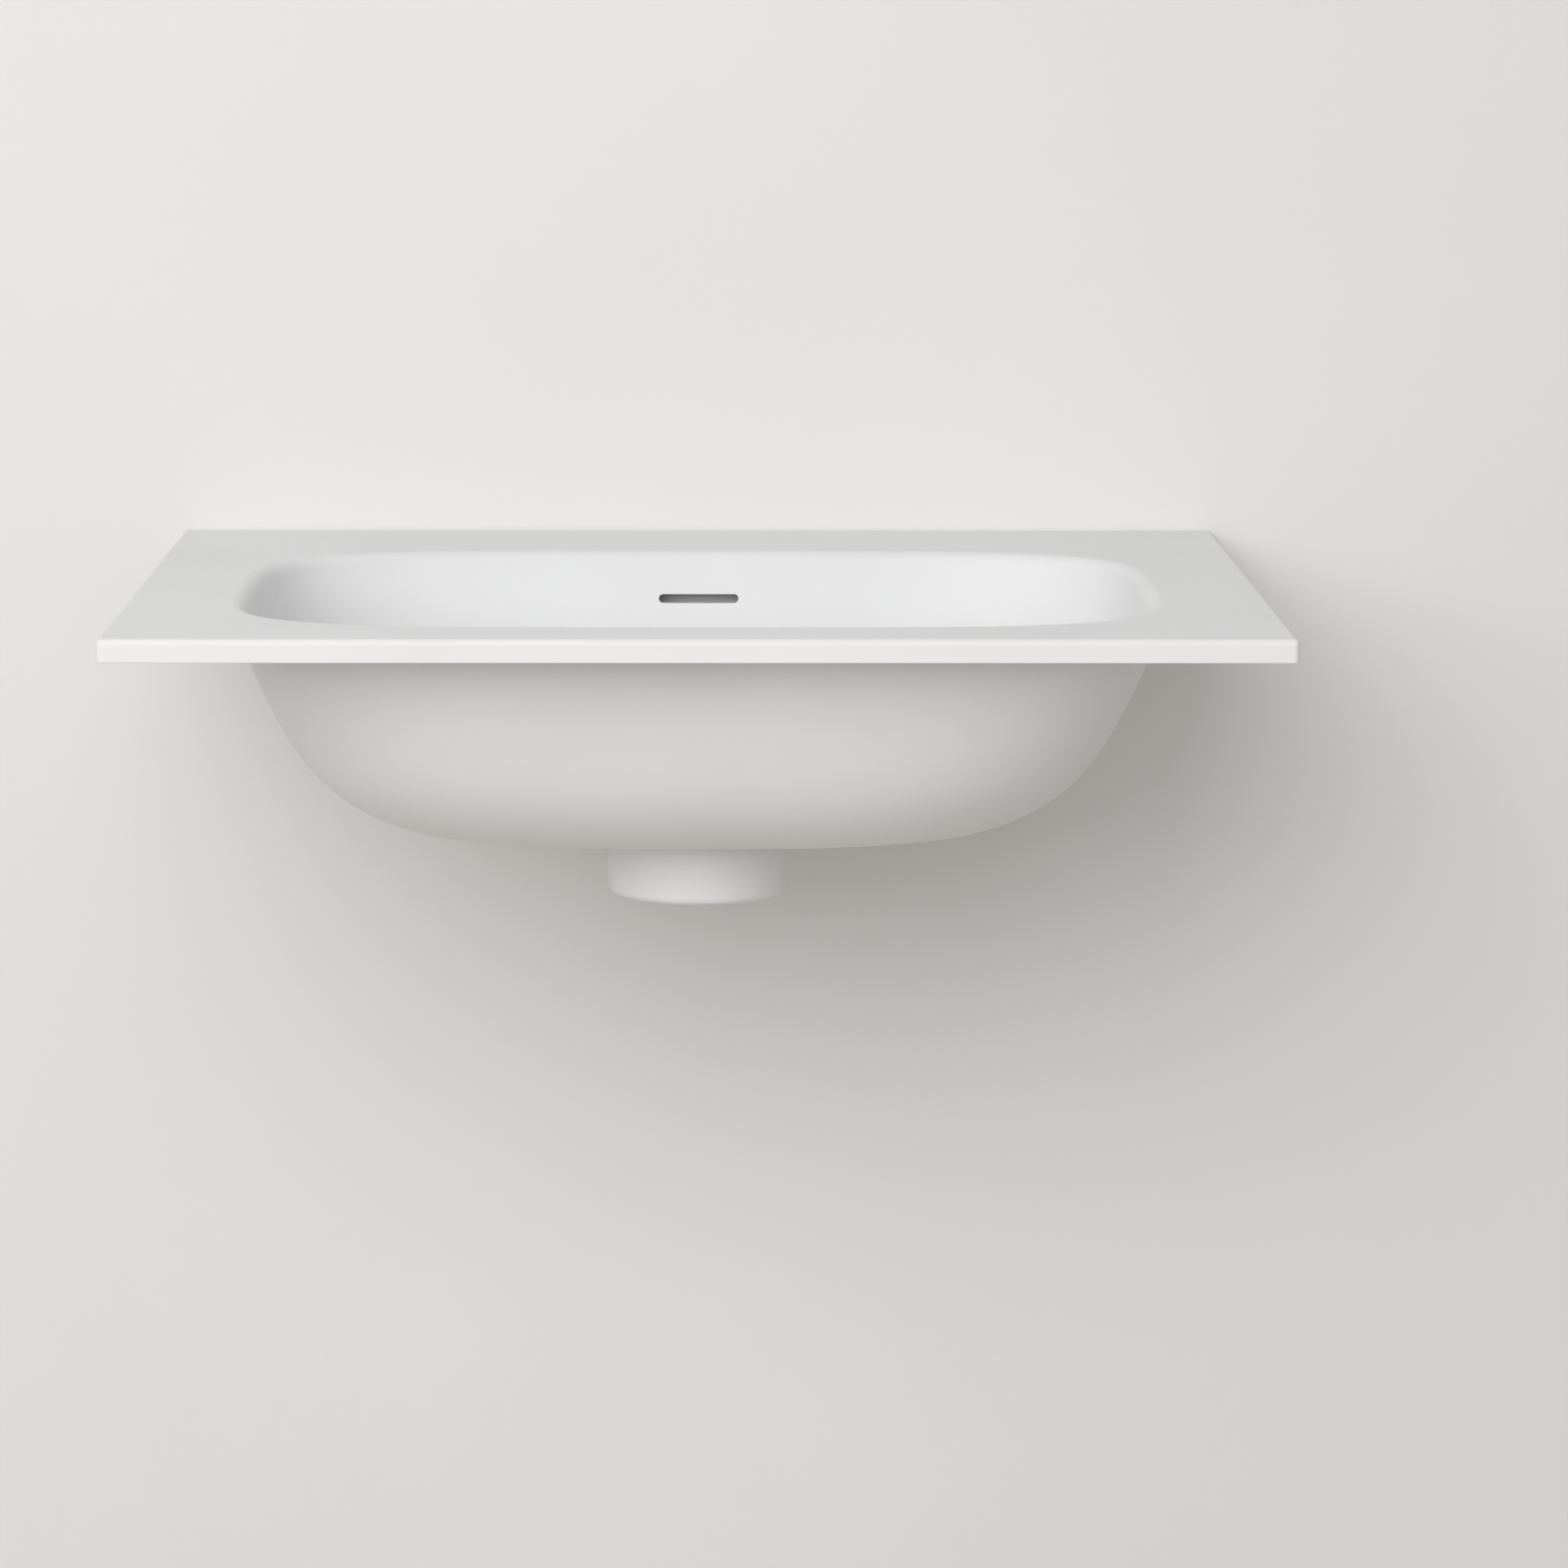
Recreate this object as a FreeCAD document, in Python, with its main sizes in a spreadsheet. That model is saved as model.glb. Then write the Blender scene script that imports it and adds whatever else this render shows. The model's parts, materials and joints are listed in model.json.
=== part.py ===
"""Vanity sink top: a thin slab, a bowl bonded under it, a drain boss and a push-open waste.

The front faces -Y and +Z is up. The origin is the middle of the slab's rear lower edge, so the
wall is the plane Y = 0 and the slab's underside is the plane Z = 0. Lengths are millimetres and
angles are degrees. Levels are heights on Z.
"""
import FreeCAD, Part
import math
import os

import Sketcher

SIZES = {
    "slab_width": 600,
    "slab_depth": 460,
    "slab_thickness": 12,
    "slab_edge_radius": 3,
    "slab_corner_radius": 3,
    "slab_arris_radius": 0.6,
    "opening_width": 490,
    "opening_depth": 320,
    "opening_front_margin": 45,
    "rim_radius": 7,
    "seat_depth": 2,
    "seat_clearance": 0.2,
    "bowl_depth": 114,
    "bowl_wall": 6,
    "wall_lean_top": 14.5,
    "wall_lean_low": 28.5,
    "floor_bend_radius": 91,
    "depth_inset_share": 0.8,
    "rim_squareness": 4.5,
    "floor_squareness": 2.55,
    "floor_fall": 2,
    "floor_hole_diameter": 66,
    "slot_length": 45,
    "slot_height": 5,
    "slot_drop": 26,
    "duct_width": 62,
    "duct_depth": 12,
    "duct_wall": 3,
    "duct_top_gap": 4,
    "duct_edge_radius": 6,
    "boss_diameter": 99.6,
    "boss_foot_diameter": 97.6,
    "boss_length": 35,
    "boss_foot_radius": 4,
    "boss_bore_diameter": 46,
    "boss_plate": 6,
    "boss_web": 6,
    "chamber_diameter": 76,
    "chamber_height": 10,
    "boss_foot_wall": 6.8,
    "port_width": 30,
    "flange_diameter": 63,
    "flange_thickness": 2.5,
    "flange_edge_radius": 1,
    "flange_seal_thickness": 1.5,
    "flange_seal_diameter": 61,
    "throat_diameter": 43,
    "throat_depth": 7,
    "body_diameter": 43.5,
    "tail_diameter": 41.9,
    "tail_bore_diameter": 36.5,
    "tail_below_boss": 4,
    "body_port_width": 14,
    "body_port_height": 8,
    "body_port_count": 4,
    "arm_count": 3,
    "arm_width": 3,
    "hub_height": 5,
    "hub_above_tail_end": 2,
    "hub_diameter": 15,
    "ring_clearance": 0.25,
    "thread_clearance": 0.1,
    "boss_seal_diameter": 60,
    "boss_seal_thickness": 2,
    "slip_washer_diameter": 58,
    "slip_washer_thickness": 1,
    "nut_across_flats": 54,
    "nut_height": 5,
    "nut_bevel_width": 2.4,
    "nut_bevel_height": 1.2,
    "thread_run_out": 0.5,
    "cap_diameter": 58,
    "cap_rim_height": 2,
    "cap_dome_rise": 3,
    "plug_seal_diameter": 55,
    "plug_seal_width": 4,
    "plug_seal_thickness": 2,
    "plug_seal_groove": 0.8,
    "cap_boss_diameter": 12,
    "cap_boss_length": 4.5,
    "stem_diameter": 6,
    "stem_in_cap": 2,
    "stem_collar_diameter": 9.4,
    "stem_collar_height": 3,
    "plug_travel": 9,
    "stop_clearance": 0.1,
    "guide_clearance": 0.05,
    "cartridge_diameter": 14,
    "cartridge_bore_diameter": 10,
    "cartridge_guide_height": 3,
    "end_cap_flange": 2,
    "end_cap_register": 2,
    "end_cap_spigot_diameter": 8,
    "spring_wire": 0.9,
    "spring_turns": 4,
    "spring_end_gap": 0.15,
    "spring_side_gap": 0.6,
}

# Points on each closed outline, and outlines down the wall, round the bend and over the floor
OUTLINE_POINTS = 48
WALL_STATIONS = 4
BEND_STATIONS = 6
FLOOR_STATIONS = 5

# How far a cutter runs past the face it opens, and how close two lengths are that count as equal
CUT_MARGIN = 1.0
SAME_LENGTH = 0.01

doc = FreeCAD.newDocument("VanitySinkTop")
sheet = doc.addObject("Spreadsheet::Sheet", "Sizes")
for row, (alias, number) in enumerate(SIZES.items(), start=1):
    sheet.set(f"A{row}", alias)
    sheet.set(f"B{row}", str(number))
    sheet.setAlias(f"B{row}", alias)
doc.recompute()


class Size:
    """A number together with the sheet expression that it comes from."""

    def __init__(self, value, text):
        self.value = float(value)
        self.text = text

    def __add__(self, other):
        other = as_size(other)
        return Size(self.value + other.value, f"({self.text} + {other.text})")

    def __sub__(self, other):
        other = as_size(other)
        return Size(self.value - other.value, f"({self.text} - {other.text})")

    def __mul__(self, other):
        other = as_size(other)
        return Size(self.value * other.value, f"({self.text} * {other.text})")

    def __truediv__(self, other):
        other = as_size(other)
        return Size(self.value / other.value, f"({self.text} / {other.text})")

    def __neg__(self):
        return Size(-self.value, f"(-{self.text})")


def as_size(number):
    if isinstance(number, Size):
        return number
    return Size(number, str(number))


def size(alias):
    return Size(sheet.get(alias), f"Sizes.{alias}")


ZERO = as_size(0)


# Levels and centre lines that several pieces share

bowl_y = -(size("slab_depth") - size("opening_front_margin") - size("opening_depth") / 2)
slab_top = size("slab_thickness")
seat_level = size("seat_depth")
floor_level = seat_level - size("bowl_depth")
bowl_underside = floor_level - size("bowl_wall")
boss_foot = bowl_underside - size("boss_length")
chamber_top = bowl_underside - size("boss_plate")
chamber_bottom = chamber_top - size("chamber_height")
web_underside = chamber_bottom - size("boss_web")
flange_underside = bowl_underside + size("flange_seal_thickness")
flange_top = flange_underside + size("flange_thickness")
boss_seal_bottom = web_underside - size("boss_seal_thickness")
washer_bottom = boss_seal_bottom - size("slip_washer_thickness")
nut_bottom = washer_bottom - size("nut_height")
thread_end = nut_bottom - size("thread_run_out")
tail_end = boss_foot - size("tail_below_boss")
hub_bottom = tail_end + size("hub_above_tail_end")
hub_top = hub_bottom + size("hub_height")
cartridge_bottom = hub_top + size("end_cap_flange")
cap_underside = flange_top + size("plug_seal_thickness") - size("plug_seal_groove")
cap_boss_bottom = cap_underside - size("cap_boss_length")
stem_top = cap_underside + size("stem_in_cap")
spring_bottom = cartridge_bottom + size("end_cap_register")
collar_bottom = spring_bottom + size("plug_travel")
collar_top = collar_bottom + size("stem_collar_height")
guide_underside = collar_top + size("plug_travel") + size("stop_clearance")
cartridge_top = guide_underside + size("cartridge_guide_height")
duct_top = -size("duct_top_gap")
channel_bottom = bowl_underside - size("duct_depth")
duct_bottom = channel_bottom - size("duct_wall")


# Small helpers for bodies, sketches and features


def new_body(name, on_drain_axis=True):
    body = doc.addObject("PartDesign::Body", name)
    if on_drain_axis:
        body.setExpression("Placement.Base.y", bowl_y.text)
    return body


def new_sketch(body, name, role, level=None):
    plane = next(item for item in body.Origin.OriginFeatures if item.Role == role)
    sketch = body.newObject("Sketcher::SketchObject", name)
    sketch.AttachmentSupport = [(plane, "")]
    sketch.MapMode = "FlatFace"
    if level is not None:
        sketch.setExpression("AttachmentOffset.Base.z", level.text)
    return sketch


def bind(sketch, constraint, measure):
    index = sketch.addConstraint(constraint)
    sketch.setExpression(f"Constraints[{index}]", measure.text)


def arc_between(start, end, radius):
    """The short arc from start to end. It runs anticlockwise for a positive radius."""
    chord = end - start
    reach = math.sqrt(max(0, radius * radius - chord.Length * chord.Length / 4))
    side = FreeCAD.Vector(-chord.y, chord.x, 0).normalize()
    centre = (start + end) / 2 + side * math.copysign(reach, radius)
    circle = Part.Circle(centre, FreeCAD.Vector(0, 0, 1), abs(radius))
    first, last = (start, end) if radius > 0 else (end, start)
    return Part.ArcOfCircle(circle, circle.parameter(first), circle.parameter(last))


def outline(body, name, role, corners, level=None):
    """A closed outline through corners (x, y). A third item is the radius of an arc to the next one."""
    sketch = new_sketch(body, name, role, level)
    places = [FreeCAD.Vector(corner[0].value, corner[1].value, 0) for corner in corners]
    ends = []
    for index, corner in enumerate(corners):
        start = places[index]
        end = places[(index + 1) % len(corners)]
        if len(corner) == 3:
            radius = corner[2]
            edge = sketch.addGeometry(arc_between(start, end, radius.value), False)
            ends.append((edge, 1, 2) if radius.value > 0 else (edge, 2, 1))
        else:
            edge = sketch.addGeometry(Part.LineSegment(start, end), False)
            ends.append((edge, 1, 2))
    for index, (edge, _, last) in enumerate(ends):
        next_edge, next_first, _ = ends[(index + 1) % len(ends)]
        sketch.addConstraint(Sketcher.Constraint("Coincident", edge, last, next_edge, next_first))
    for (edge, first, _), corner in zip(ends, corners):
        x, y = corner[0], corner[1]
        bind(sketch, Sketcher.Constraint("DistanceX", -1, 1, edge, first, x.value), x)
        bind(sketch, Sketcher.Constraint("DistanceY", -1, 1, edge, first, y.value), y)
        if len(corner) == 3:
            radius = corner[2] if corner[2].value > 0 else -corner[2]
            bind(sketch, Sketcher.Constraint("Radius", edge, radius.value), radius)
    return sketch


def circles(body, name, diameters, level):
    """Concentric circles round the body's own axis."""
    sketch = new_sketch(body, name, "XY_Plane", level)
    up = FreeCAD.Vector(0, 0, 1)
    for diameter in diameters:
        edge = sketch.addGeometry(Part.Circle(FreeCAD.Vector(0, 0, 0), up, diameter.value / 2), False)
        sketch.addConstraint(Sketcher.Constraint("Coincident", edge, 3, -1, 1))
        bind(sketch, Sketcher.Constraint("Diameter", edge, diameter.value), diameter)
    return sketch


def pad(body, sketch, length, symmetric=False):
    feature = body.newObject("PartDesign::Pad", "Pad")
    feature.Profile = sketch
    feature.SideType = "Symmetric" if symmetric else "One side"
    feature.setExpression("Length", length.text)
    doc.recompute()
    return feature


def turn(body, sketch):
    feature = body.newObject("PartDesign::Revolution", "Turned")
    feature.Profile = sketch
    feature.ReferenceAxis = (sketch, ["V_Axis"])
    feature.Angle = 360
    doc.recompute()
    return feature


def groove(body, sketch):
    feature = body.newObject("PartDesign::Groove", "TurnedCut")
    feature.Profile = sketch
    feature.ReferenceAxis = (sketch, ["V_Axis"])
    feature.Angle = 360
    doc.recompute()
    return feature


def pocket_through(body, sketch, reverse):
    feature = body.newObject("PartDesign::Pocket", "Window")
    feature.Profile = sketch
    feature.Type = "ThroughAll"
    feature.Reversed = reverse
    doc.recompute()
    return feature


def polar(body, feature, count):
    pattern = body.newObject("PartDesign::PolarPattern", "Around")
    pattern.Originals = [feature]
    pattern.Axis = (next(item for item in body.Origin.OriginFeatures if item.Role == "Z_Axis"), [""])
    pattern.Angle = 360
    pattern.setExpression("Occurrences", count.text)
    body.Tip = pattern
    doc.recompute()
    return pattern


def edges_where(shape, test):
    return [index for index, edge in enumerate(shape.Edges, start=1) if test(edge)]


def round_edges(body, feature, radius, test):
    names = [f"Edge{index}" for index in edges_where(feature.Shape, test)]
    rounding = body.newObject("PartDesign::Fillet", "Rounded")
    rounding.Base = (feature, names)
    rounding.setExpression("Radius", radius.text)
    doc.recompute()
    return rounding


def near(first, second):
    return abs(first - second) < SAME_LENGTH


def flat_at(edge, level):
    return near(edge.BoundBox.ZMin, level) and near(edge.BoundBox.ZMax, level)


def shaped(name, shape):
    feature = doc.addObject("Part::Feature", name)
    feature.Shape = shape
    return feature


def cut(name, base, tool):
    feature = doc.addObject("Part::Cut", name)
    feature.Base = base
    feature.Tool = tool
    doc.recompute()
    return feature


def ring(label, bore, bottom):
    """A flat washer or seal round the drain axis. Its label also names its diameter and thickness."""
    body = new_body(label)
    faces = circles(body, "Faces", [size(f"{label}_diameter"), bore], bottom)
    pad(body, faces, size(f"{label}_thickness"))
    body.Label = label
    return body


# The bowl's form: closed outlines that shrink and round off from the seat down to the floor

lean_top = math.radians(size("wall_lean_top").value)
lean_low = math.radians(size("wall_lean_low").value)
bend_radius = size("floor_bend_radius").value
inset_share = size("depth_inset_share").value
wall_drop = size("bowl_depth").value - bend_radius * (1 - math.sin(lean_low))
wall_radius = wall_drop / (math.sin(lean_low) - math.sin(lean_top))
lean_across = math.atan(inset_share * math.tan(lean_top))


def seat_half(opening, lean):
    """Half the opening at the seat: the rim's rounding and the leaning edge come off the top size."""
    rounding = size("rim_radius").value * math.tan((math.pi / 2 - lean) / 2)
    edge = (slab_top.value - seat_level.value) * math.tan(lean)
    return opening.value / 2 - rounding - edge


seat_half_width = seat_half(size("opening_width"), lean_top)
seat_half_depth = seat_half(size("opening_depth"), lean_across)


def squircle(half_width, half_depth, level, squareness):
    """A closed smooth outline between an ellipse and a rectangle, round the drain axis."""
    points = []
    for index in range(OUTLINE_POINTS):
        angle = 2 * math.pi * index / OUTLINE_POINTS
        across = abs(math.cos(angle) / half_width) ** squareness
        along = abs(math.sin(angle) / half_depth) ** squareness
        reach = (across + along) ** (-1 / squareness)
        x = reach * math.cos(angle)
        y = bowl_y.value + reach * math.sin(angle)
        points.append(FreeCAD.Vector(x, y, level))
    curve = Part.BSplineCurve()
    knots = [float(index) for index in range(OUTLINE_POINTS + 1)]
    curve.interpolate(Points=points, PeriodicFlag=True, Parameters=knots)
    return Part.Wire(curve.toShape())


def wall_leans():
    """Angles from the vertical at which the wall's form is set out, from the seat to the floor."""
    wall_step = (lean_low - lean_top) / WALL_STATIONS
    bend_step = (math.pi / 2 - lean_low) / BEND_STATIONS
    on_wall = [lean_top + wall_step * step for step in range(WALL_STATIONS)]
    on_bend = [lean_low + bend_step * step for step in range(BEND_STATIONS + 1)]
    return on_wall + on_bend


def wall_place(lean, outside):
    """(half width, half depth, level, squareness) at this lean, a distance outside the water face."""
    on_wall = min(lean, lean_low)
    inset = wall_radius * (math.cos(lean_top) - math.cos(on_wall))
    drop = wall_radius * (math.sin(on_wall) - math.sin(lean_top))
    if lean > lean_low:
        inset += bend_radius * (math.cos(lean_low) - math.cos(lean))
        drop += bend_radius * (math.sin(lean) - math.sin(lean_low))
    half_width = seat_half_width - inset + outside * math.cos(lean)
    half_depth = seat_half_depth - inset_share * inset + outside * math.cos(lean)
    level = seat_level.value - drop - outside * math.sin(lean)
    change = size("floor_squareness").value - size("rim_squareness").value
    squareness = size("rim_squareness").value + change * drop / size("bowl_depth").value
    return half_width, half_depth, level, squareness


def above_wall(level, outside):
    """The wall's straight run at or above the seat, a distance outside the water face."""
    rise = level - seat_level.value
    half_width = seat_half_width + outside / math.cos(lean_top) + rise * math.tan(lean_top)
    half_depth = seat_half_depth + outside / math.cos(lean_across) + rise * math.tan(lean_across)
    return half_width, half_depth, level, size("rim_squareness").value


wall = size("bowl_wall").value
hole_radius = size("floor_hole_diameter").value / 2
drain_level = floor_level.value - size("floor_fall").value

outer_sections = [above_wall(seat_level.value, wall)]
outer_sections += [wall_place(lean, wall) for lean in wall_leans()[1:]]
bowl_outside = shaped("BowlOutside", Part.makeLoft([squircle(*place) for place in outer_sections], True))


def floor_place(share):
    """The outline on the falling floor, this share of the way from the bend to the drain."""
    drain = (hole_radius - CUT_MARGIN, hole_radius - CUT_MARGIN, drain_level, 2)
    edge = wall_place(math.pi / 2, 0)
    return [start + (end - start) * share for start, end in zip(edge, drain)]


inner_sections = [above_wall(slab_top.value, 0)]
inner_sections += [wall_place(lean, 0) for lean in wall_leans()]
inner_sections += [floor_place(step / FLOOR_STATIONS) for step in range(1, FLOOR_STATIONS + 1)]
bowl_inside = shaped("BowlInside", Part.makeLoft([squircle(*place) for place in inner_sections], True))


def make_slab():
    body = new_body("SlabBlank", on_drain_axis=False)
    half = size("slab_width") / 2
    depth = size("slab_depth")
    corners = [(-half, ZERO), (-half, -depth), (half, -depth), (half, ZERO)]
    blank = pad(body, outline(body, "SlabOutline", "XY_Plane", corners), slab_top)

    def is_front_corner(edge):
        box = edge.BoundBox
        return near(box.ZLength, slab_top.value) and near(box.YMax, -depth.value)

    def is_exposed(edge, level):
        return flat_at(edge, level) and not near(edge.BoundBox.YMin, 0)

    def is_top_edge(edge):
        return is_exposed(edge, slab_top.value)

    def is_low_edge(edge):
        return is_exposed(edge, 0)

    cornered = round_edges(body, blank, size("slab_corner_radius"), is_front_corner)
    eased = round_edges(body, cornered, size("slab_edge_radius"), is_top_edge)
    round_edges(body, eased, size("slab_arris_radius"), is_low_edge)

    low = above_wall(-CUT_MARGIN, 0)
    high = above_wall(slab_top.value + CUT_MARGIN, 0)
    opening = shaped("OpeningCore", Part.makeLoft([squircle(*low), squircle(*high)], True, True))
    seat_outside = wall + size("seat_clearance").value
    half_width, half_depth, level, squareness = above_wall(seat_level.value, seat_outside)
    seat_outline = squircle(half_width, half_depth, -CUT_MARGIN, squareness)
    seat_height = FreeCAD.Vector(0, 0, level + CUT_MARGIN)
    seat = shaped("SeatCore", Part.Face(seat_outline).extrude(seat_height))
    opened = cut("SlabOpened", body, opening)
    seated = cut("SlabSeated", opened, seat)

    def is_rim(edge):
        return edge.isClosed() and flat_at(edge, slab_top.value)

    slab = doc.addObject("Part::Fillet", "Slab")
    slab.Base = seated
    radius = size("rim_radius").value
    slab.Edges = [(index, radius, radius) for index in edges_where(seated.Shape, is_rim)]
    doc.recompute()
    slab.Label = "countertop_slab"
    return slab


def make_overflow_slot():
    """The stadium-shaped cutter for the overflow slot in the bowl's back wall."""
    body = new_body("OverflowSlot")
    half = size("slot_height") / 2
    reach = (size("slot_length") - size("slot_height")) / 2
    middle = slab_top - size("slot_drop")
    corners = [
        (-reach, middle - half),
        (reach, middle - half, half),
        (reach + half, middle, half),
        (reach, middle + half),
        (-reach, middle + half, half),
        (-reach - half, middle, half),
    ]
    sketch = outline(body, "SlotOutline", "XZ_Plane", corners)
    feature = pad(body, sketch, size("opening_depth"))
    feature.Reversed = True
    doc.recompute()
    return body


def make_bowl():
    hollow = cut("BowlHollow", bowl_outside, bowl_inside)
    hole = doc.addObject("Part::Cylinder", "FloorHole")
    hole.setExpression("Radius", (size("floor_hole_diameter") / 2).text)
    hole.setExpression("Height", size("bowl_depth").text)
    hole.setExpression("Placement.Base.y", bowl_y.text)
    hole.setExpression("Placement.Base.z", (bowl_underside - size("bowl_depth") / 2).text)
    drained = cut("BowlDrained", hollow, hole)
    bowl = cut("Bowl", drained, make_overflow_slot())
    bowl.Label = "bowl_shell"
    return bowl


def make_boss():
    body = new_body("Boss")
    top = size("boss_diameter") / 2
    foot = size("boss_foot_diameter") / 2
    bore = size("boss_bore_diameter") / 2
    chamber = size("chamber_diameter") / 2
    recess = foot - size("boss_foot_wall")
    corners = [
        (bore, bowl_underside),
        (bore, chamber_top),
        (chamber, chamber_top),
        (chamber, chamber_bottom),
        (bore, chamber_bottom),
        (bore, web_underside),
        (recess, web_underside),
        (recess, boss_foot),
        (foot, boss_foot),
        (top, bowl_underside),
    ]
    turned = turn(body, outline(body, "BossSection", "XZ_Plane", corners))

    def is_foot_edge(edge):
        return flat_at(edge, boss_foot.value) and near(edge.BoundBox.XLength, 2 * foot.value)

    round_edges(body, turned, size("boss_foot_radius"), is_foot_edge)
    half = size("port_width") / 2
    port = [
        (-half, channel_bottom),
        (half, channel_bottom),
        (half, chamber_top),
        (-half, chamber_top),
    ]
    pocket_through(body, outline(body, "PortOutline", "XZ_Plane", port), reverse=False)
    body.Label = "drain_boss"
    return body


def duct_side(outside, top, bottom):
    """The duct's side face. Its back follows the bowl's wall at this distance outside the water face."""
    back = []
    for lean in wall_leans():
        _, half_depth, level, _ = wall_place(lean, outside)
        if level < top - CUT_MARGIN:
            back.append(FreeCAD.Vector(0, bowl_y.value + half_depth, level))
    _, half_depth, _, _ = above_wall(top, outside)
    back.insert(0, FreeCAD.Vector(0, bowl_y.value + half_depth, top))
    curve = Part.BSplineCurve()
    curve.interpolate(Points=back)
    front = bowl_y.value + size("boss_bore_diameter").value / 2
    low_front = FreeCAD.Vector(0, front, bottom)
    high_front = FreeCAD.Vector(0, front, top)
    edges = [
        curve.toShape(),
        Part.makeLine(back[-1], low_front),
        Part.makeLine(low_front, high_front),
        Part.makeLine(high_front, back[0]),
    ]
    return Part.Face(Part.Wire(edges))


def duct_block(name, outside, top, bottom, width):
    side = duct_side(outside, top.value, bottom.value)
    side.translate(FreeCAD.Vector(-width.value / 2, 0, 0))
    return shaped(name, side.extrude(FreeCAD.Vector(width.value, 0, 0)))


def make_duct():
    """A hood on the bowl's back that leads the overflow water from the slot to the drain boss."""
    width = size("duct_width")
    thickness = size("duct_wall")
    channel_outside = wall + size("duct_depth").value
    hood_outside = channel_outside + thickness.value
    channel_top = duct_top - thickness
    channel_width = width - thickness * 2
    hood = duct_block("DuctHood", hood_outside, duct_top, duct_bottom, width)
    channel = duct_block("DuctChannel", channel_outside, channel_top, channel_bottom, channel_width)

    def is_back_edge(edge):
        box = edge.BoundBox
        return near(box.XLength, 0) and min(box.YLength, box.ZLength) > size("bowl_depth").value / 2

    rounded = doc.addObject("Part::Fillet", "DuctRounded")
    rounded.Base = hood
    radius = size("duct_edge_radius").value
    rounded.Edges = [(index, radius, radius) for index in edges_where(hood.Shape, is_back_edge)]
    doc.recompute()
    boss_outside = doc.addObject("Part::Cone", "BossOutside")
    boss_outside.setExpression("Radius1", (size("boss_foot_diameter") / 2).text)
    boss_outside.setExpression("Radius2", (size("boss_diameter") / 2).text)
    boss_outside.setExpression("Height", size("boss_length").text)
    boss_outside.setExpression("Placement.Base.y", bowl_y.text)
    boss_outside.setExpression("Placement.Base.z", boss_foot.text)
    hollow = cut("DuctHollow", rounded, channel)
    on_bowl = cut("DuctOnBowl", hollow, bowl_outside)
    duct = cut("Duct", on_bowl, boss_outside)
    duct.Label = "overflow_duct"
    return duct


def make_waste_body():
    body = new_body("WasteBody")
    flange = size("flange_diameter") / 2
    thread = size("body_diameter") / 2
    tail = size("tail_diameter") / 2
    bore = size("tail_bore_diameter") / 2
    corners = [
        (bore, tail_end),
        (tail, tail_end),
        (tail, thread_end),
        (thread, thread_end),
        (thread, flange_underside),
        (flange, flange_underside),
        (flange, flange_top),
        (size("throat_diameter") / 2, flange_top),
        (bore, flange_top - size("throat_depth")),
    ]
    turned = turn(body, outline(body, "BodySection", "XZ_Plane", corners))

    def is_flange_rim(edge):
        return flat_at(edge, flange_top.value) and near(edge.BoundBox.XLength, 2 * flange.value)

    round_edges(body, turned, size("flange_edge_radius"), is_flange_rim)
    half = size("body_port_width") / 2
    middle = (chamber_top + chamber_bottom) / 2
    rise = size("body_port_height") / 2
    window = [(-half, middle - rise), (half, middle - rise), (half, middle + rise), (-half, middle + rise)]
    port = pocket_through(body, outline(body, "PortOutline", "XZ_Plane", window), reverse=False)
    polar(body, port, size("body_port_count"))
    arm_half = size("arm_width") / 2
    arm_end = (bore + tail) / 2
    arm_outline = [(-arm_half, ZERO), (arm_half, ZERO), (arm_half, arm_end), (-arm_half, arm_end)]
    arm = pad(body, outline(body, "ArmOutline", "XY_Plane", arm_outline, hub_bottom), size("hub_height"))
    polar(body, arm, size("arm_count"))
    pad(body, circles(body, "HubOutline", [size("hub_diameter")], hub_bottom), size("hub_height"))
    socket = size("end_cap_spigot_diameter") + size("thread_clearance") * 2
    pocket = body.newObject("PartDesign::Pocket", "HubSocket")
    pocket.Profile = circles(body, "SocketOutline", [socket], hub_top)
    pocket.setExpression("Length", size("hub_height").text)
    body.Tip = pocket
    doc.recompute()
    body.Label = "waste_body"
    return body


def make_back_nut():
    body = new_body("BackNut")
    corner = size("nut_across_flats") / as_size(math.sqrt(3))
    flat = size("nut_across_flats") / 2
    hexagon = [
        (corner, ZERO),
        (corner / 2, flat),
        (-corner / 2, flat),
        (-corner, ZERO),
        (-corner / 2, -flat),
        (corner / 2, -flat),
    ]
    pad(body, outline(body, "NutOutline", "XY_Plane", hexagon, nut_bottom), size("nut_height"))
    width = size("nut_bevel_width")
    height = size("nut_bevel_height")
    bevel = [
        (corner - width, nut_bottom),
        (corner + width, nut_bottom + height * 2),
        (corner + width, nut_bottom),
    ]
    groove(body, outline(body, "CornerBevel", "XZ_Plane", bevel))
    thread = size("body_diameter") + size("thread_clearance") * 2
    pocket = body.newObject("PartDesign::Pocket", "NutThread")
    pocket.Profile = circles(body, "ThreadOutline", [thread], washer_bottom)
    pocket.setExpression("Length", size("nut_height").text)
    body.Tip = pocket
    doc.recompute()
    body.Label = "back_nut"
    return body


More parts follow.
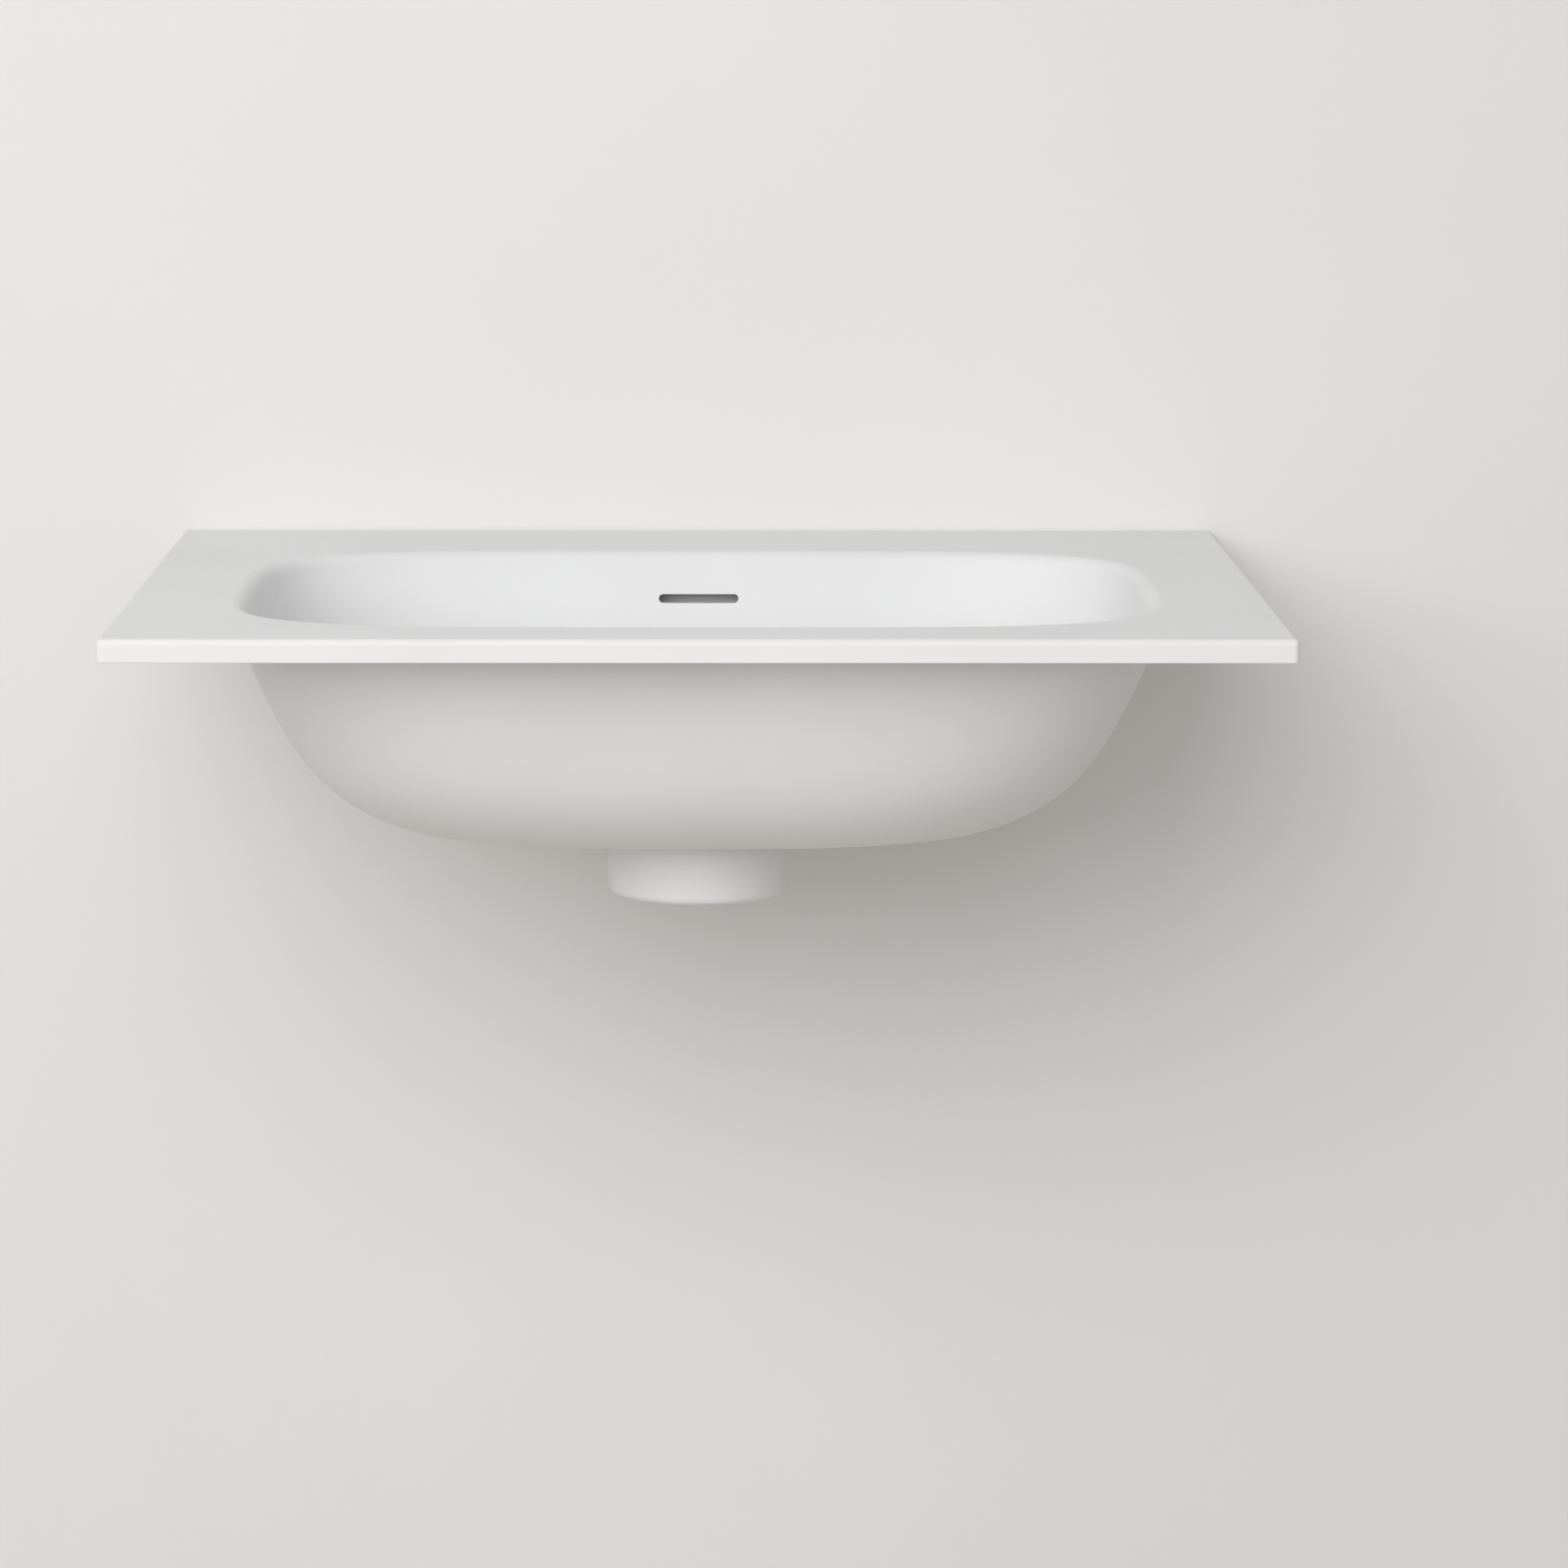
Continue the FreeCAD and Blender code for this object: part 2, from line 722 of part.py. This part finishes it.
def make_plug_cap():
    body = new_body("PlugCap")
    rim = size("cap_diameter") / 2
    boss = size("cap_boss_diameter") / 2
    stem = size("stem_diameter") / 2
    groove_outer = size("plug_seal_diameter") / 2
    groove_inner = groove_outer - size("plug_seal_width")
    groove_top = cap_underside + size("plug_seal_groove")
    rim_top = cap_underside + size("cap_rim_height")
    rise = size("cap_dome_rise")
    crown = rim_top + rise
    dome_radius = (rim * rim + rise * rise) / (rise * 2)
    corners = [
        (ZERO, stem_top),
        (stem, stem_top),
        (stem, cap_boss_bottom),
        (boss, cap_boss_bottom),
        (boss, cap_underside),
        (groove_inner, cap_underside),
        (groove_inner, groove_top),
        (groove_outer, groove_top),
        (groove_outer, cap_underside),
        (rim, cap_underside),
        (rim, rim_top, dome_radius),
        (ZERO, crown),
    ]
    turn(body, outline(body, "CapSection", "XZ_Plane", corners))
    body.Label = "plug_cap"
    return body


def make_plug_stem():
    body = new_body("PlugStem")
    rod = size("stem_diameter") / 2 - size("guide_clearance")
    collar = size("stem_collar_diameter") / 2
    corners = [
        (ZERO, collar_bottom),
        (collar, collar_bottom),
        (collar, collar_top),
        (rod, collar_top),
        (rod, stem_top),
        (ZERO, stem_top),
    ]
    turn(body, outline(body, "StemSection", "XZ_Plane", corners))
    body.Label = "plug_stem"
    return body


def make_cartridge():
    body = new_body("Cartridge")
    outer = size("cartridge_diameter") / 2
    bore = size("cartridge_bore_diameter") / 2
    guide = size("stem_diameter") / 2
    corners = [
        (bore, cartridge_bottom),
        (outer, cartridge_bottom),
        (outer, cartridge_top),
        (guide, cartridge_top),
        (guide, guide_underside),
        (bore, guide_underside),
    ]
    turn(body, outline(body, "SleeveSection", "XZ_Plane", corners))
    body.Label = "click_cartridge"
    return body


def make_end_cap():
    body = new_body("EndCap")
    outer = size("cartridge_diameter") / 2
    register = size("cartridge_bore_diameter") / 2 - size("thread_clearance")
    spigot = size("end_cap_spigot_diameter") / 2
    corners = [
        (ZERO, hub_bottom),
        (spigot, hub_bottom),
        (spigot, hub_top),
        (outer, hub_top),
        (outer, cartridge_bottom),
        (register, cartridge_bottom),
        (register, spring_bottom),
        (ZERO, spring_bottom),
    ]
    turn(body, outline(body, "EndCapSection", "XZ_Plane", corners))
    body.Label = "cartridge_end_cap"
    return body


def tangent_arcs(start, start_way, end, end_way):
    """Two arcs that leave start and reach end along the given directions and meet tangentially."""
    span = end - start
    ways = start_way + end_way
    a = 2 * (start_way.dot(end_way) - 1)
    b = -2 * span.dot(ways)
    c = span.dot(span)
    reach = (-b - math.sqrt(b * b - 4 * a * c)) / (2 * a)
    first_corner = start + start_way * reach
    second_corner = end - end_way * reach
    join = (first_corner + second_corner) / 2
    return [arc_at(start, first_corner, join), arc_at(join, second_corner, end)]


def arc_at(start, corner, end):
    """The arc from start to end that is tangent to the lines through the corner."""
    middle = (start + end) / 2
    half_chord = (end - start).Length / 2
    turn_angle = math.atan2((corner - middle).Length, half_chord)
    crown = middle + (corner - middle) * (math.tan(turn_angle / 2) / math.tan(turn_angle))
    return Part.Arc(start, crown, end).toShape()


def make_spring():
    """A coil of square wire between the end cap and the stem's collar, squeezed while the plug is shut."""
    wire = size("spring_wire").value
    radius = size("cartridge_bore_diameter").value / 2 - size("spring_side_gap").value - wire / 2
    low = spring_bottom.value + size("spring_end_gap").value + wire / 2
    high = collar_bottom.value - size("spring_end_gap").value - wire / 2
    quarters = int(round(size("spring_turns").value * 4))
    climb = (high - low) / quarters
    slope = climb / (radius * math.pi / 2)

    def place(index):
        angle = math.pi / 2 * index
        return FreeCAD.Vector(
            radius * math.cos(angle), bowl_y.value + radius * math.sin(angle), low + climb * index
        )

    def way(index):
        angle = math.pi / 2 * index
        return FreeCAD.Vector(-math.sin(angle), math.cos(angle), slope).normalize()

    arcs = []
    for index in range(quarters):
        arcs += tangent_arcs(place(index), way(index), place(index + 1), way(index + 1))
    half = wire / 2
    radial = FreeCAD.Vector(1, 0, 0)
    upward = radial.cross(way(0)).normalize()
    corners = [
        place(0) + radial * x + upward * z
        for x, z in ((-half, -half), (half, -half), (half, half), (-half, half), (-half, -half))
    ]
    path = Part.Wire(arcs)
    section = Part.makePolygon(corners)
    spring = shaped("Spring", path.makePipeShell([section], True, False))
    spring.Label = "cartridge_spring"
    return spring


ring_bore = size("body_diameter") + size("ring_clearance") * 2
plug_seal_bore = size("plug_seal_diameter") - size("plug_seal_width") * 2
sub_parts = [
    make_slab(),
    make_bowl(),
    make_boss(),
    make_duct(),
    make_waste_body(),
    ring("flange_seal", ring_bore, bowl_underside),
    ring("boss_seal", ring_bore, boss_seal_bottom),
    ring("slip_washer", ring_bore, washer_bottom),
    make_back_nut(),
    make_plug_cap(),
    ring("plug_seal", plug_seal_bore, flange_top),
    make_plug_stem(),
    make_cartridge(),
    make_end_cap(),
    make_spring(),
]
doc.recompute()

for item in doc.Objects:
    if "Invalid" in item.State or "Error" in item.State:
        raise RuntimeError(f"{item.Label} failed: {item.State}")
for part in sub_parts:
    if part.Shape.isNull() or not part.Shape.isValid() or len(part.Shape.Solids) != 1:
        raise RuntimeError(f"{part.Label} is not one valid solid")

os.makedirs("parts", exist_ok=True)
for part in sub_parts:
    part.Shape.exportStep(f"parts/{part.Label}.step")
    box = part.Shape.BoundBox
    print(part.Label, round(part.Shape.Volume), round(box.XLength), round(box.YLength), round(box.ZLength))
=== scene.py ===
"""Looks of the vanity sink top: its finishes, a pale studio with soft light, and the camera."""

import json
import math

import bpy
from mathutils import Matrix, Vector


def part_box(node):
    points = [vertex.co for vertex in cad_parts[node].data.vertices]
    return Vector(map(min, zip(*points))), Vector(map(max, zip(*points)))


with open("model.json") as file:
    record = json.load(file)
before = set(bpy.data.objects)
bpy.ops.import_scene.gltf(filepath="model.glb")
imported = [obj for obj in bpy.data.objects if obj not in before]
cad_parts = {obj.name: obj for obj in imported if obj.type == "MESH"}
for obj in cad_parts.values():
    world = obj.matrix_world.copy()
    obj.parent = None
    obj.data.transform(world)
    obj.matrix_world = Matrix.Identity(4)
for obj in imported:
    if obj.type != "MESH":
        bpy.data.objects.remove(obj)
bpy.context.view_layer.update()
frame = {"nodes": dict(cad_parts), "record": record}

# Camera: lengths in metres, lens in millimetres, angles in degrees to the right, down and round its axis
CAMERA_PLACE = (-0.0012, -3.0583, 0.3748)
CAMERA_TURN = 0.964
CAMERA_TILT = 9.516
CAMERA_ROLL = 0.154
LENS = 121.0
SENSOR_WIDTH = 36.0

# Floor and wall
FLOOR_LEVEL = -1.0
FLOOR_SIZE = 14.0
WALL_DISTANCE = 0.001
WALL_WIDTH = 9.0
WALL_HEIGHT = 6.0
WINDOW_INSET = 0.0035

# Light: sizes in metres, power in watts
LIGHT_TARGET = (0, -0.23, -0.07)
KEY = {"place": (-0.95, -3.0, 1.3), "width": 3.0, "height": 2.2, "power": 79, "colour": (1.0, 1.0, 1.0)}
FILL = {"place": (0.3, -3.3, -0.15), "width": 2.6, "height": 1.4, "power": 3.5, "colour": (1.0, 0.86, 0.75)}
SKY_COLOUR = (0.96, 0.975, 1.0, 1)
SKY_STRENGTH = 0.41

# Noise that the finishes are made from. Its values gather round a half.
CLOUD_DETAIL = 3
GRAIN_DETAIL = 2
COLOUR_SPREAD = (0.35, 0.65)
ROUGHNESS_SPREAD = (0.3, 0.7)
GRAIN_DEPTH = 0.0002
GRAIN_STRENGTH = 0.05

# Each finish wanders between a low and a high colour and between two roughnesses. Cloud and grain are
# the scales of its slow and its fine noise.
OBJECT_FINISHES = {
    "solid_surface": {
        "low": (0.755, 0.755, 0.753), "high": (0.78, 0.78, 0.778), "rough": (0.42, 0.52),
        "cloud": 9, "grain": 900, "specular": 0.28,
    },
    "chromed_brass": {
        "low": (0.72, 0.73, 0.75), "high": (0.80, 0.81, 0.82), "rough": (0.06, 0.14),
        "cloud": 60, "grain": 700, "metallic": 1.0,
    },
    "plain_brass": {
        "low": (0.60, 0.42, 0.17), "high": (0.70, 0.52, 0.24), "rough": (0.28, 0.42),
        "cloud": 80, "grain": 900, "metallic": 1.0,
    },
    "seal_rubber": {
        "low": (0.018, 0.018, 0.019), "high": (0.032, 0.032, 0.033), "rough": (0.6, 0.8),
        "cloud": 120, "grain": 1500,
    },
    "washer_plastic": {
        "low": (0.70, 0.68, 0.62), "high": (0.76, 0.74, 0.68), "rough": (0.4, 0.5),
        "cloud": 90, "grain": 1200,
    },
    "cartridge_plastic": {
        "low": (0.55, 0.56, 0.57), "high": (0.61, 0.62, 0.63), "rough": (0.38, 0.5),
        "cloud": 90, "grain": 1200,
    },
    "steel": {
        "low": (0.50, 0.50, 0.51), "high": (0.62, 0.62, 0.63), "rough": (0.22, 0.36),
        "cloud": 140, "grain": 1600, "metallic": 1.0,
    },
}
FLOOR_PAINT = {
    "low": (0.56, 0.53, 0.50), "high": (0.58, 0.55, 0.52), "rough": (0.85, 0.95),
    "cloud": 2, "grain": 40, "specular": 0.1,
}
WALL_PAINT = {
    "low": (0.78, 0.772, 0.76), "high": (0.80, 0.792, 0.78), "rough": (0.9, 0.98),
    "cloud": 2, "grain": 60, "specular": 0.1,
}


def first_node(tree, kind):
    return next(node for node in tree.nodes if node.type == kind)


def object_noise(tree, scale, detail):
    place = tree.nodes.new("ShaderNodeTexCoord")
    noise = tree.nodes.new("ShaderNodeTexNoise")
    noise.inputs["Scale"].default_value = scale
    noise.inputs["Detail"].default_value = detail
    tree.links.new(place.outputs["Object"], noise.inputs["Vector"])
    return noise


def colour_between(tree, noise, low, high):
    ramp = tree.nodes.new("ShaderNodeValToRGB")
    for stop, position, colour in zip(ramp.color_ramp.elements, COLOUR_SPREAD, (low, high)):
        stop.position = position
        stop.color = (*colour, 1)
    tree.links.new(noise.outputs["Fac"], ramp.inputs["Fac"])
    return ramp.outputs["Color"]


def value_between(tree, noise, low, high):
    spread = tree.nodes.new("ShaderNodeMapRange")
    spread.inputs["From Min"].default_value = ROUGHNESS_SPREAD[0]
    spread.inputs["From Max"].default_value = ROUGHNESS_SPREAD[1]
    spread.inputs["To Min"].default_value = low
    spread.inputs["To Max"].default_value = high
    tree.links.new(noise.outputs["Fac"], spread.inputs["Value"])
    return spread.outputs["Result"]


def grain_normal(tree, noise):
    bump = tree.nodes.new("ShaderNodeBump")
    bump.inputs["Strength"].default_value = GRAIN_STRENGTH
    bump.inputs["Distance"].default_value = GRAIN_DEPTH
    tree.links.new(noise.outputs["Fac"], bump.inputs["Height"])
    return bump.outputs["Normal"]


def finish(name, low, high, rough, cloud, grain, metallic=0.0, specular=0.5):
    """A finish with a slow wander of colour, a patchy roughness and a fine grain."""
    material = bpy.data.materials.new(name)
    material.use_nodes = True
    tree = material.node_tree
    shader = first_node(tree, "BSDF_PRINCIPLED")
    clouds = object_noise(tree, cloud, CLOUD_DETAIL)
    grains = object_noise(tree, grain, GRAIN_DETAIL)
    tree.links.new(colour_between(tree, clouds, low, high), shader.inputs["Base Color"])
    tree.links.new(value_between(tree, clouds, *rough), shader.inputs["Roughness"])
    tree.links.new(grain_normal(tree, grains), shader.inputs["Normal"])
    shader.inputs["Metallic"].default_value = metallic
    shader.inputs["Specular IOR Level"].default_value = specular
    return material


def one_sided(material):
    """Lets the back of the surface be seen through, so that the object shows from behind and below."""
    tree = material.node_tree
    shader = first_node(tree, "BSDF_PRINCIPLED")
    output = first_node(tree, "OUTPUT_MATERIAL")
    side = tree.nodes.new("ShaderNodeNewGeometry")
    clear = tree.nodes.new("ShaderNodeBsdfTransparent")
    mix = tree.nodes.new("ShaderNodeMixShader")
    tree.links.new(side.outputs["Backfacing"], mix.inputs["Fac"])
    tree.links.new(shader.outputs["BSDF"], mix.inputs[1])
    tree.links.new(clear.outputs["BSDF"], mix.inputs[2])
    tree.links.new(mix.outputs["Shader"], output.inputs["Surface"])
    return material


def rectangle(left, bottom, right, top):
    return [(left, bottom, 0), (right, bottom, 0), (right, top, 0), (left, top, 0)]


def plane(name, width, height, material, place, window=None):
    """A flat surface round its own middle. A window (left, bottom, right, top) is left open in it."""
    corners = rectangle(-width / 2, -height / 2, width / 2, height / 2)
    faces = [(0, 1, 2, 3)]
    if window:
        corners += rectangle(*window)
        faces = [(side, (side + 1) % 4, (side + 1) % 4 + 4, side + 4) for side in range(4)]
    mesh = bpy.data.meshes.new(name)
    mesh.from_pydata(corners, [], faces)
    mesh.materials.append(material)
    surface = bpy.data.objects.new(name, mesh)
    surface.matrix_world = place
    bpy.context.scene.collection.objects.link(surface)


def area_light(name, place, width, height, power, colour):
    data = bpy.data.lights.new(name, "AREA")
    data.color = colour
    data.shape = "RECTANGLE"
    data.size = width
    data.size_y = height
    data.energy = power
    lamp = bpy.data.objects.new(name, data)
    lamp.location = place
    lamp.rotation_euler = (Vector(LIGHT_TARGET) - Vector(place)).to_track_quat("-Z", "Y").to_euler()
    bpy.context.scene.collection.objects.link(lamp)


def turned(degrees, axis):
    return Matrix.Rotation(math.radians(degrees), 4, axis)


# Finishes of the object's pieces

finishes = {slot: finish(slot, **values) for slot, values in OBJECT_FINISHES.items()}
for part in frame["record"]["subparts"]:
    node = frame["nodes"][part["node"]]
    node.data.materials.clear()
    node.data.materials.append(finishes[part["material_slot"]])

# Floor, and a wall that is open behind the slab's rear edge

floor_paint = one_sided(finish("floor_paint", **FLOOR_PAINT))
plane("floor", FLOOR_SIZE, FLOOR_SIZE, floor_paint, Matrix.Translation((0, 0, FLOOR_LEVEL)))

wall_paint = one_sided(finish("wall_paint", **WALL_PAINT))
wall_middle = FLOOR_LEVEL + WALL_HEIGHT / 2
wall_place = Matrix.Translation((0, WALL_DISTANCE, wall_middle)) @ turned(90, "X")
slab_low, slab_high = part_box("countertop_slab")
left, right = slab_low[0] + WINDOW_INSET, slab_high[0] - WINDOW_INSET
bottom, top = slab_low[2] + WINDOW_INSET, slab_high[2] - WINDOW_INSET
behind_slab = (left, bottom - wall_middle, right, top - wall_middle)
plane("wall", WALL_WIDTH, WALL_HEIGHT, wall_paint, wall_place, behind_slab)

# Light

area_light("key", **KEY)
area_light("fill", **FILL)
world = bpy.data.worlds.new("studio")
world.use_nodes = True
sky = first_node(world.node_tree, "BACKGROUND")
sky.inputs["Color"].default_value = SKY_COLOUR
sky.inputs["Strength"].default_value = SKY_STRENGTH

scene = bpy.context.scene
scene.world = world
scene.view_settings.view_transform = "Standard"

# Camera

camera_data = bpy.data.cameras.new("camera")
camera_data.sensor_width = SENSOR_WIDTH
camera_data.lens = LENS
camera = bpy.data.objects.new("camera", camera_data)
heading = turned(-CAMERA_TURN, "Z") @ turned(90 - CAMERA_TILT, "X") @ turned(CAMERA_ROLL, "Z")
camera.matrix_world = Matrix.Translation(CAMERA_PLACE) @ heading
scene.collection.objects.link(camera)
scene.camera = camera
